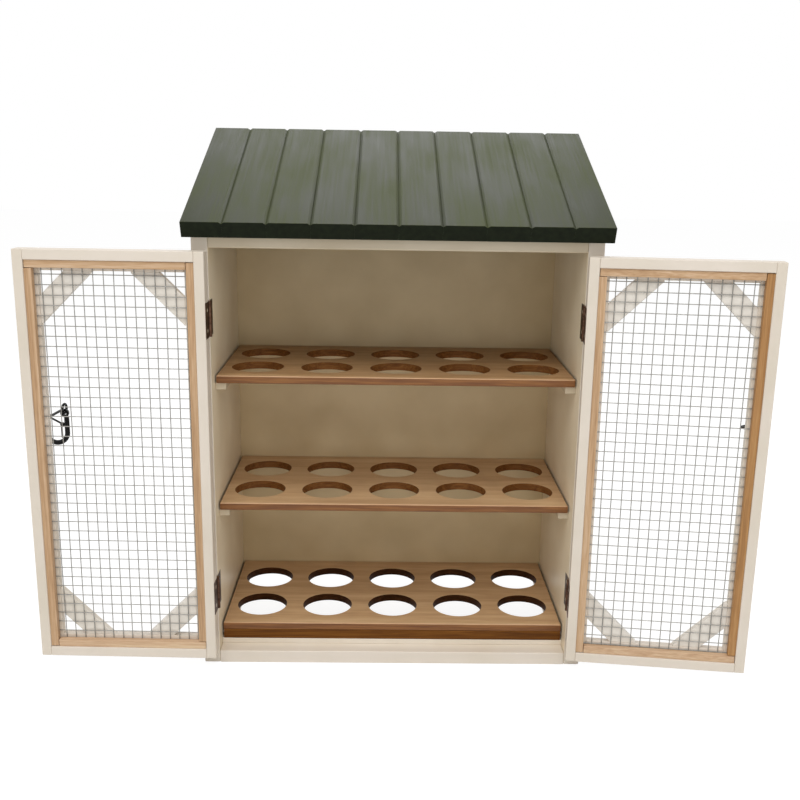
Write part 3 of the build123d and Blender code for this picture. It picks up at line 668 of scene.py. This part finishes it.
# A pair of screws in each leaf of each hinge, on the case's side of the joint and on the door's
def makeHingeScrews():
    hinge = {"halfGap": 0.05, "y": -0.25, "middles": (60.9, 275.0), "spacing": 15.0, "smoothBelow": 35}
    heights = [middle + share * hinge["spacing"] for middle in hinge["middles"] for share in (-0.5, 0.5)]
    caseScrews = []
    for side in (-1, 1):
        caseX = side * (door["pinX"] + hinge["halfGap"])
        caseScrews += crossScrews([(caseX, hinge["y"], z) for z in heights], side)
    addPiece(
        "caseHingeScrews", joined(caseScrews), [zincScrew], "case", "case_hinge_screws",
        hinge["smoothBelow"])
    inFromEdge = door["edge"] - door["pinX"] + hinge["halfGap"]
    inFromFace = hinge["y"] - carcass["frontY"]
    for name, side in (("left", -1), ("right", 1)):
        places = [(inFromEdge, inFromFace, z - door["bottom"]) for z in heights]
        points, faces = joined(crossScrews(places, 1))
        addPiece(
            name + "DoorHingeScrews", (doorPlace(side, points), faces), [zincScrew], name + "_door",
            name + "_door_hinge_screws", hinge["smoothBelow"])


# Gives a CAD node that stays its material
def dress(name, material):
    nodes[name].data.materials.clear()
    nodes[name].data.materials.append(material)


# The same for a board, with a weld and a small bevel that ease its edges
def easeNode(name, material, width=0.5):
    ease = {"weld": 1e-6, "segments": 2, "sharpAngle": 40}
    dress(name, material)
    weld = nodes[name].modifiers.new("weld", "WELD")
    weld.merge_threshold = ease["weld"]
    bevel = nodes[name].modifiers.new("ease", "BEVEL")
    bevel.width = width * toMetres
    bevel.segments = ease["segments"]
    bevel.limit_method = "ANGLE"
    bevel.angle_limit = math.radians(ease["sharpAngle"])
    bevel.use_clamp_overlap = True


makeCarcass()
makeRoof()
print("carcass and roof made")
# Each shelf's top, its face and its hole walls; the top shelf's darker face and the lowest shelf's nearly
# black hole walls are painted shade
shelfFinishes = {
    "bottom": (28.1, veneerPale, veneerHoleDeepShade), "middle": (128.9, veneerPale, veneerHoleShade),
    "top": (229.7, veneerShaded, veneerHoleShade)}
for shelfName, (shelfTop, faceFinish, wallFinish) in shelfFinishes.items():
    makeShelf(shelfName, shelfTop, faceFinish, wallFinish)
    # The cleats take the darker enamel, painted shade under the shelves
    easeNode(shelfName + "_shelf_cleats", enamelPaintedShade)
easeNode("bottom_shelf_strip", stripWood)
easeNode("base_door_stop", enamelPaintedLight)
easeNode("roof_rear_batten", enamelLevel)
print("shelves made")
for doorName, doorSide in (("left", -1), ("right", 1)):
    makeDoor(doorName, doorSide)
    for rail in ("top_rail", "bottom_rail"):
        easeNode(f"{doorName}_door_{rail}", enamelLevel)
    # The right door's latch bead takes the darker amber pine, painted shade
    latchBead = beadUpright if doorSide < 0 else beadAmberShade
    beads = {"hinge": beadUpright, "latch": latchBead, "top": beadLevel, "bottom": beadPale}
    for bead, finish in beads.items():
        easeNode(f"{doorName}_door_{bead}_bead", finish, 0.4)
    dress(f"{doorName}_door_hinge_leaves", bronzedSteel)
    dress(f"{doorName}_case_hinge_leaves", bronzedSteel)
    dress(f"{doorName}_hinge_pins", hingePinHighlight)
    dress(f"{doorName}_screw_eye", blackLacquer)
makeHingeScrews()
for latchNode in ("latch_hook", "keeper_rivet", "keeper_spring", "hook_keeper"):
    dress(latchNode, blackLacquer)
print("doors and latch made")


# 1 for a ray from the camera, a mirror or glass, and 0 for one that only lights the object
def seenShare(tree):
    rays = addNode(tree, "ShaderNodeLightPath").outputs
    seen = rays["Is Camera Ray"]
    for kind in ("Is Glossy Ray", "Is Transmission Ray"):
        seen = addNode(tree, "ShaderNodeMath", {"operation": "MAXIMUM"}, {0: seen, 1: rays[kind]}).outputs[0]
    return seen


# White ground: lit paper to the object, and to the camera, mirrors and glass a paler mix
# of lit paper and even glow, so that the object's soft shadow stays but the ground is white
def makeFloor():
    ground = {"half": 6.0, "z": -0.0002, "colour": "#F2F2F0", "glow": 0.9, "seenColour": "#838383"}
    half, z = ground["half"], ground["z"]  # metres
    corners = [(-half, -half, z), (half, -half, z), (half, half, z), (-half, half, z)]
    mesh = bpy.data.meshes.new("studioFloor")
    mesh.from_pydata(corners, [], [(0, 1, 2, 3)])
    floor = bpy.data.objects.new("studioFloor", mesh)
    scene.collection.objects.link(floor)
    material = bpy.data.materials.new("studioPaper")
    material.use_nodes = True
    tree = material.node_tree
    tree.nodes.clear()
    paper = addNode(tree, "ShaderNodeBsdfDiffuse", {"Color": hexToLinear(ground["colour"])})
    seenPaper = addNode(tree, "ShaderNodeBsdfDiffuse", {"Color": hexToLinear(ground["seenColour"])})
    glow = addNode(tree, "ShaderNodeEmission", {"Color": (1, 1, 1, 1), "Strength": ground["glow"]})
    seenMix = addNode(tree, "ShaderNodeAddShader", links={0: seenPaper.outputs[0], 1: glow.outputs[0]})
    both = addNode(
        tree, "ShaderNodeMixShader", links={0: seenShare(tree), 1: paper.outputs[0], 2: seenMix.outputs[0]})
    addNode(tree, "ShaderNodeOutputMaterial", links={"Surface": both.outputs[0]})
    mesh.materials.append(material)


# An even white room, brighter to the eye than to the object
def makeWorld():
    room = {"seen": 1.0, "lighting": 0.39}
    world = bpy.data.worlds.new("studioRoom")
    scene.world = world
    world.use_nodes = True
    tree = world.node_tree
    tree.nodes.clear()
    strength = addNode(
        tree, "ShaderNodeMapRange", {"To Min": room["lighting"], "To Max": room["seen"]},
        {"Value": seenShare(tree)})
    background = addNode(
        tree, "ShaderNodeBackground", {"Color": (1, 1, 1, 1)}, {"Strength": strength.outputs["Result"]})
    addNode(tree, "ShaderNodeOutputWorld", links={"Surface": background.outputs[0]})


# A square softbox turned to face a point
def addSoftbox(name, place, target, size, watts):
    lamp = bpy.data.lights.new(name, "AREA")
    lamp.size = size
    lamp.energy = watts
    box = bpy.data.objects.new(name, lamp)
    box.location = place
    box.rotation_euler = (Vector(target) - Vector(place)).to_track_quat("-Z", "Y").to_euler()
    scene.collection.objects.link(box)


# The camera looks back along Y, turned by "turn" and tipped down by "tip", in radians: forward is
# cos tip level - sin tip up. Its right and up are then turned about that by "roll".
def makeCamera():
    view = {
        "place": (-9.70, -718.55, 392.52), "lens": 44.5, "sensor": 36.0, "turn": math.asin(-0.01749),
        "tip": 0.24319, "roll": 0.01597, "clipStart": 0.01, "clipEnd": 50}
    lens = bpy.data.cameras.new("studioCamera")
    lens.lens = view["lens"]
    lens.sensor_width = view["sensor"]
    lens.clip_start, lens.clip_end = view["clipStart"], view["clipEnd"]
    camera = bpy.data.objects.new("studioCamera", lens)
    scene.collection.objects.link(camera)
    turn, tip, roll = view["turn"], view["tip"], view["roll"]
    right = Vector((math.cos(turn), math.sin(turn), 0))
    level = Vector((-math.sin(turn), math.cos(turn), 0))
    forward = math.cos(tip) * level - math.sin(tip) * Vector((0, 0, 1))
    upward = math.sin(tip) * level + math.cos(tip) * Vector((0, 0, 1))
    rolledRight = math.cos(roll) * right + math.sin(roll) * upward
    rolledUp = -math.sin(roll) * right + math.cos(roll) * upward
    basis = Matrix((rolledRight, rolledUp, -forward)).transposed().to_4x4()
    camera.matrix_world = Matrix.Translation(Vector(view["place"]) * toMetres) @ basis
    scene.camera = camera


makeFloor()
makeWorld()
# Each softbox's place, the point it faces, its width, in metres, and its watts
softboxes = {
    "keySoftbox": ((-0.15, -0.95, 1.9), (0.0, 0.0, 0.15), 1.2, 22.5),
    "leftSoftbox": ((-1.95, -0.62, 0.7), (0.0, 0.0, 0.15), 1.0, 6.2),
    "rightSoftbox": ((1.95, -0.62, 0.7), (0.0, 0.0, 0.15), 1.0, 6.2),
    "frontSoftbox": ((0.3, -2.1, 0.7), (0.0, 0.0, 0.15), 1.2, 3.4),
    "rearSoftbox": ((0.02, 1.1, 1.12), (0.0, 0.1, 0.38), 0.8, 3.8)}
for boxName, values in softboxes.items():
    addSoftbox(boxName, *values)
makeCamera()
scene.view_settings.view_transform = "Standard"
print("stage, light and camera made")
